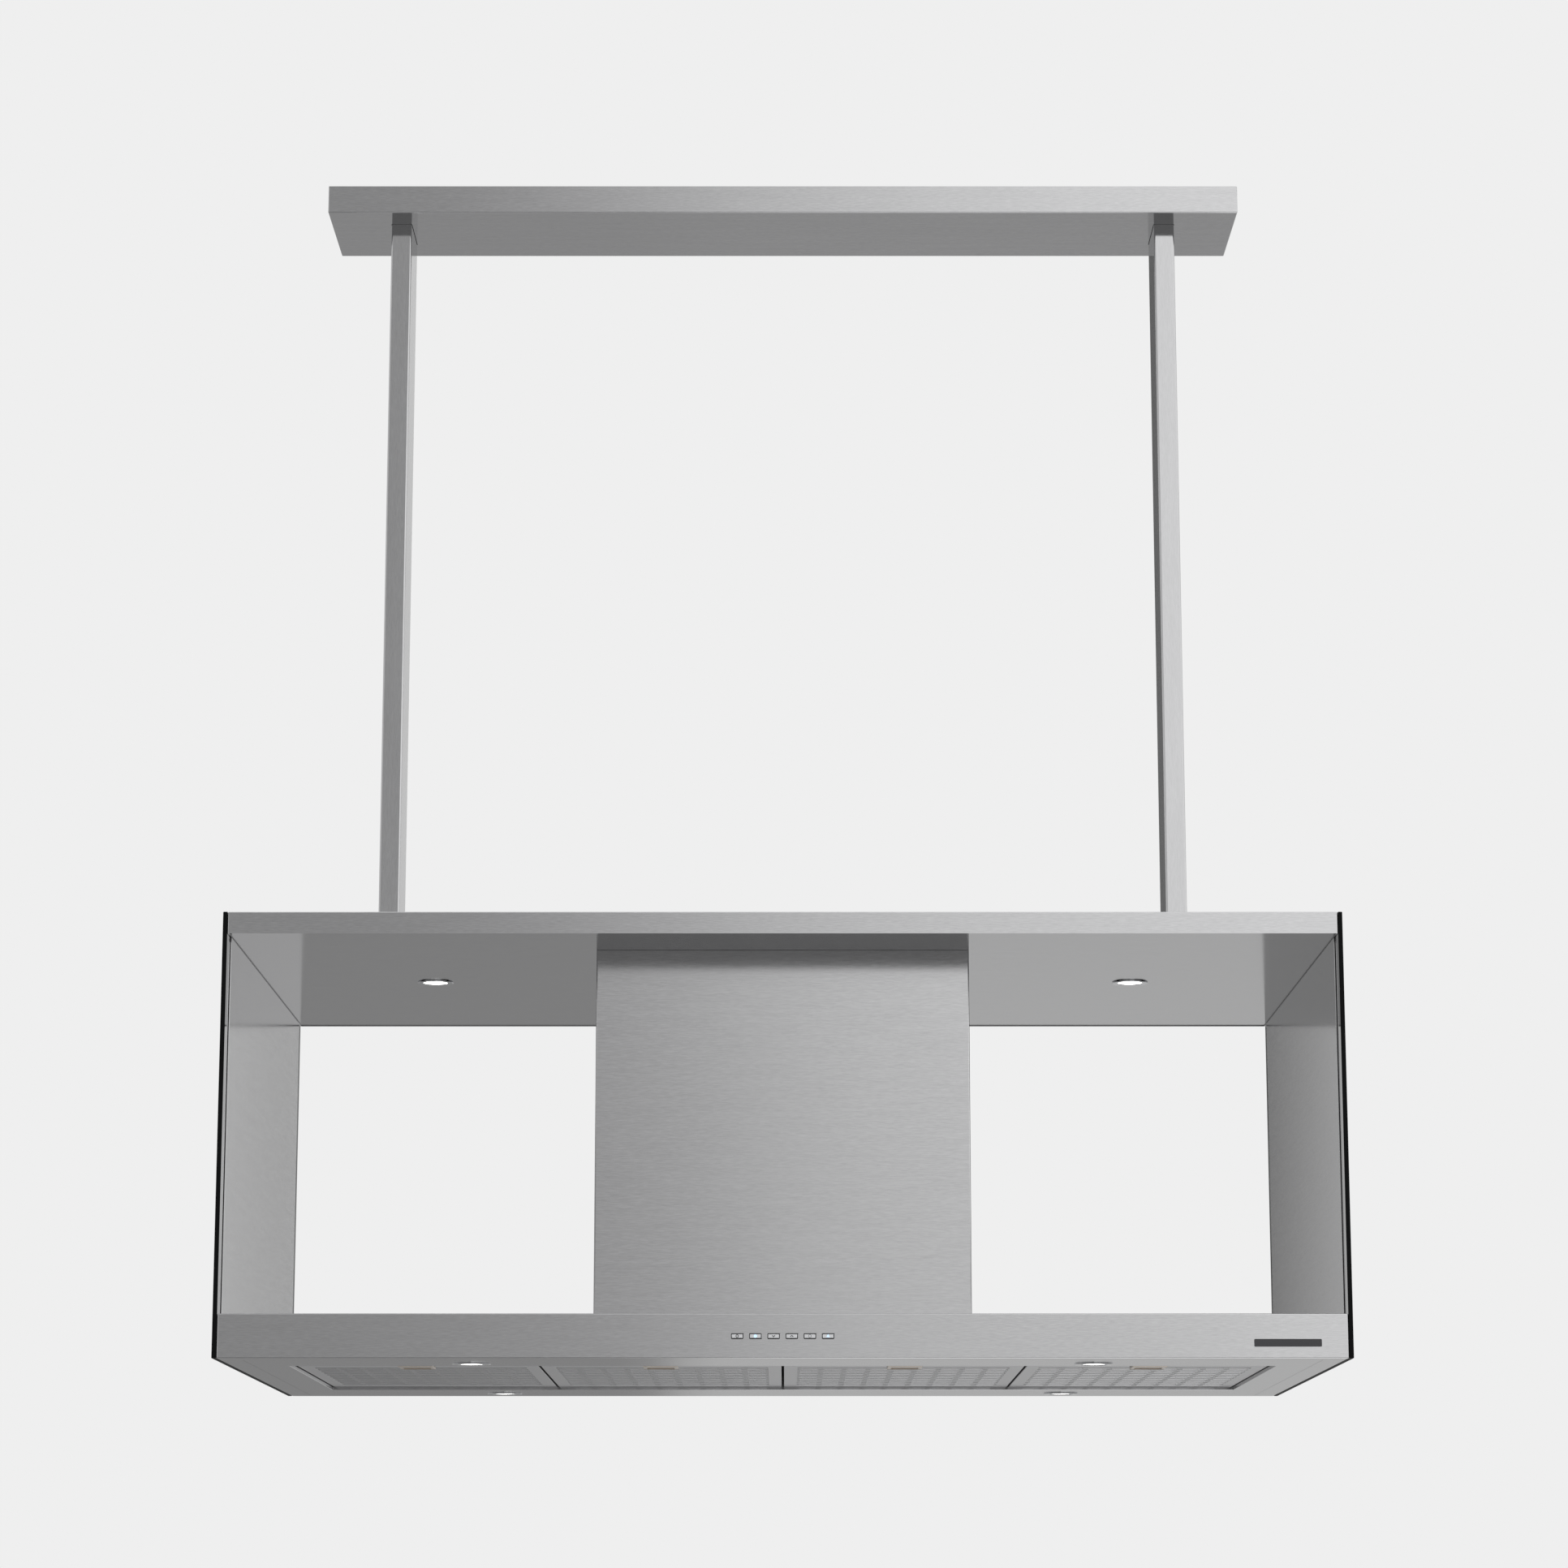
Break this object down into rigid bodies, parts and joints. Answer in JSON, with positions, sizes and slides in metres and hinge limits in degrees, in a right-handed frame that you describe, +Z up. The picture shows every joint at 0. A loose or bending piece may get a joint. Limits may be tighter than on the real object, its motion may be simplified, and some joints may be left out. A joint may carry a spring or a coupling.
{
  "type": "island range hood",
  "caption": "Ceiling-hung island range hood: plate, twin posts, shelf, central column and flat canopy between glass sides, with filters, lamps and buttons.",
  "frame": {"origin": "centre of the ceiling bracket's top face, where the hood meets the ceiling", "axes": "+Z up, +X to the right seen from the side with the buttons, +Y from that side to the back"},
  "size_m": [1.2, 0.7015, 1.39],
  "materials": {
    "brushed_stainless": "brushed along the length, satin",
    "filter_steel": "rolled stainless sheet, slotted, satin",
    "galvanised_steel": "hot-dip zinc, dull spangle",
    "black_glass": "toughened glass, back-painted black, polished edges",
    "black_plastic": "moulded, fine texture",
    "motor_enamel": "black stoving enamel, satin",
    "polished_chrome": "polished",
    "button_steel": "fine satin chrome",
    "latch_brass": "nickel-plated brass, satin",
    "lamp_diffuser": "frosted diffuser, lit",
    "badge_enamel": "plain dark enamel",
    "carbon_cassette": "moulded cassette with carbon grains",
    "circuit_board": "green solder mask on glass-epoxy board",
    "cable_sheath": "grey PVC, satin"
  },
  "bodies": {
    "root": {"ceiling_bracket": "galvanised_steel", "ceiling_cover": "brushed_stainless", "terminal_box": "black_plastic", "left_post": "brushed_stainless", "right_post": "brushed_stainless", "left_post_top_flange": "galvanised_steel", "right_post_top_flange": "galvanised_steel", "left_post_foot": "galvanised_steel", "right_post_foot": "galvanised_steel", "left_glass_panel": "black_glass", "right_glass_panel": "black_glass", "left_side_liner": "brushed_stainless", "right_side_liner": "brushed_stainless", "shelf_shell": "brushed_stainless", "shelf_underside_pan": "brushed_stainless", "shelf_frame": "galvanised_steel", "outlet_plenum": "galvanised_steel", "outlet_grille": "brushed_stainless", "column_front_cover": "brushed_stainless", "column_rear_cover": "brushed_stainless", "blower_housing": "galvanised_steel", "motor_bracket": "galvanised_steel", "motor": "motor_enamel", "canopy_shell": "brushed_stainless", "canopy_underside_pan": "brushed_stainless", "control_board": "circuit_board", "power_unit": "galvanised_steel", "blank_badge": "badge_enamel", "internal_harness": "cable_sheath", "lamp_housing_1": "polished_chrome", "lamp_lens_1": "lamp_diffuser", "lamp_housing_2": "polished_chrome", "lamp_lens_2": "lamp_diffuser", "lamp_housing_3": "polished_chrome", "lamp_lens_3": "lamp_diffuser", "lamp_housing_4": "polished_chrome", "lamp_lens_4": "lamp_diffuser", "lamp_housing_5": "polished_chrome", "lamp_lens_5": "lamp_diffuser", "lamp_housing_6": "polished_chrome", "lamp_lens_6": "lamp_diffuser"},
    "grease_filter_1": {"grease_filter_1": "filter_steel"},
    "filter_latch_1": {"filter_latch_1": "latch_brass"},
    "grease_filter_2": {"grease_filter_2": "filter_steel"},
    "filter_latch_2": {"filter_latch_2": "latch_brass"},
    "grease_filter_3": {"grease_filter_3": "filter_steel"},
    "filter_latch_3": {"filter_latch_3": "latch_brass"},
    "grease_filter_4": {"grease_filter_4": "filter_steel"},
    "filter_latch_4": {"filter_latch_4": "latch_brass"},
    "button_1": {"button_1": "button_steel"},
    "button_2": {"button_2": "button_steel"},
    "button_3": {"button_3": "button_steel"},
    "button_4": {"button_4": "button_steel"},
    "button_5": {"button_5": "button_steel"},
    "button_6": {"button_6": "button_steel"},
    "impeller": {"impeller": "galvanised_steel", "impeller_shaft": "polished_chrome"},
    "charcoal_filter_left": {"charcoal_filter_left": "carbon_cassette"},
    "charcoal_filter_right": {"charcoal_filter_right": "carbon_cassette"}
  },
  "joints": [
    {"name": "filter_swing_1", "type": "hinge", "parent": "root", "child": "grease_filter_1", "pos_m": [-0.39937, 0.222, -1.3845], "axis": [1, 0, 0], "range_deg": [0, 75]},
    {"name": "latch_slide_1", "type": "slide", "parent": "grease_filter_1", "child": "filter_latch_1", "axis": [0, 1, 0], "range_m": [0, 0.008], "stiffness_N_per_m": 200, "springref_m": -0.004},
    {"name": "filter_swing_2", "type": "hinge", "parent": "root", "child": "grease_filter_2", "pos_m": [-0.13312, 0.222, -1.3845], "axis": [1, 0, 0], "range_deg": [0, 75]},
    {"name": "latch_slide_2", "type": "slide", "parent": "grease_filter_2", "child": "filter_latch_2", "axis": [0, 1, 0], "range_m": [0, 0.008], "stiffness_N_per_m": 200, "springref_m": -0.004},
    {"name": "filter_swing_3", "type": "hinge", "parent": "root", "child": "grease_filter_3", "pos_m": [0.13312, 0.222, -1.3845], "axis": [1, 0, 0], "range_deg": [0, 75]},
    {"name": "latch_slide_3", "type": "slide", "parent": "grease_filter_3", "child": "filter_latch_3", "axis": [0, 1, 0], "range_m": [0, 0.008], "stiffness_N_per_m": 200, "springref_m": -0.004},
    {"name": "filter_swing_4", "type": "hinge", "parent": "root", "child": "grease_filter_4", "pos_m": [0.39937, 0.222, -1.3845], "axis": [1, 0, 0], "range_deg": [0, 75]},
    {"name": "latch_slide_4", "type": "slide", "parent": "grease_filter_4", "child": "filter_latch_4", "axis": [0, 1, 0], "range_m": [0, 0.008], "stiffness_N_per_m": 200, "springref_m": -0.004},
    {"name": "button_press_1", "type": "slide", "parent": "root", "child": "button_1", "axis": [0, 1, 0], "range_m": [0, 0.0015], "stiffness_N_per_m": 500, "springref_m": -0.001},
    {"name": "button_press_2", "type": "slide", "parent": "root", "child": "button_2", "axis": [0, 1, 0], "range_m": [0, 0.0015], "stiffness_N_per_m": 500, "springref_m": -0.001},
    {"name": "button_press_3", "type": "slide", "parent": "root", "child": "button_3", "axis": [0, 1, 0], "range_m": [0, 0.0015], "stiffness_N_per_m": 500, "springref_m": -0.001},
    {"name": "button_press_4", "type": "slide", "parent": "root", "child": "button_4", "axis": [0, 1, 0], "range_m": [0, 0.0015], "stiffness_N_per_m": 500, "springref_m": -0.001},
    {"name": "button_press_5", "type": "slide", "parent": "root", "child": "button_5", "axis": [0, 1, 0], "range_m": [0, 0.0015], "stiffness_N_per_m": 500, "springref_m": -0.001},
    {"name": "button_press_6", "type": "slide", "parent": "root", "child": "button_6", "axis": [0, 1, 0], "range_m": [0, 0.0015], "stiffness_N_per_m": 500, "springref_m": -0.001},
    {"name": "impeller_spin", "type": "hinge", "parent": "root", "child": "impeller", "pos_m": [0, -0.07, -1.13], "axis": [1, 0, 0], "continuous": true},
    {"name": "charcoal_twist_left", "type": "hinge", "parent": "root", "child": "charcoal_filter_left", "pos_m": [-0.115, -0.07, -1.13], "axis": [1, 0, 0], "range_deg": [0, 30]},
    {"name": "charcoal_twist_right", "type": "hinge", "parent": "root", "child": "charcoal_filter_right", "pos_m": [0.115, -0.07, -1.13], "axis": [1, 0, 0], "range_deg": [0, 30]}
  ]
}
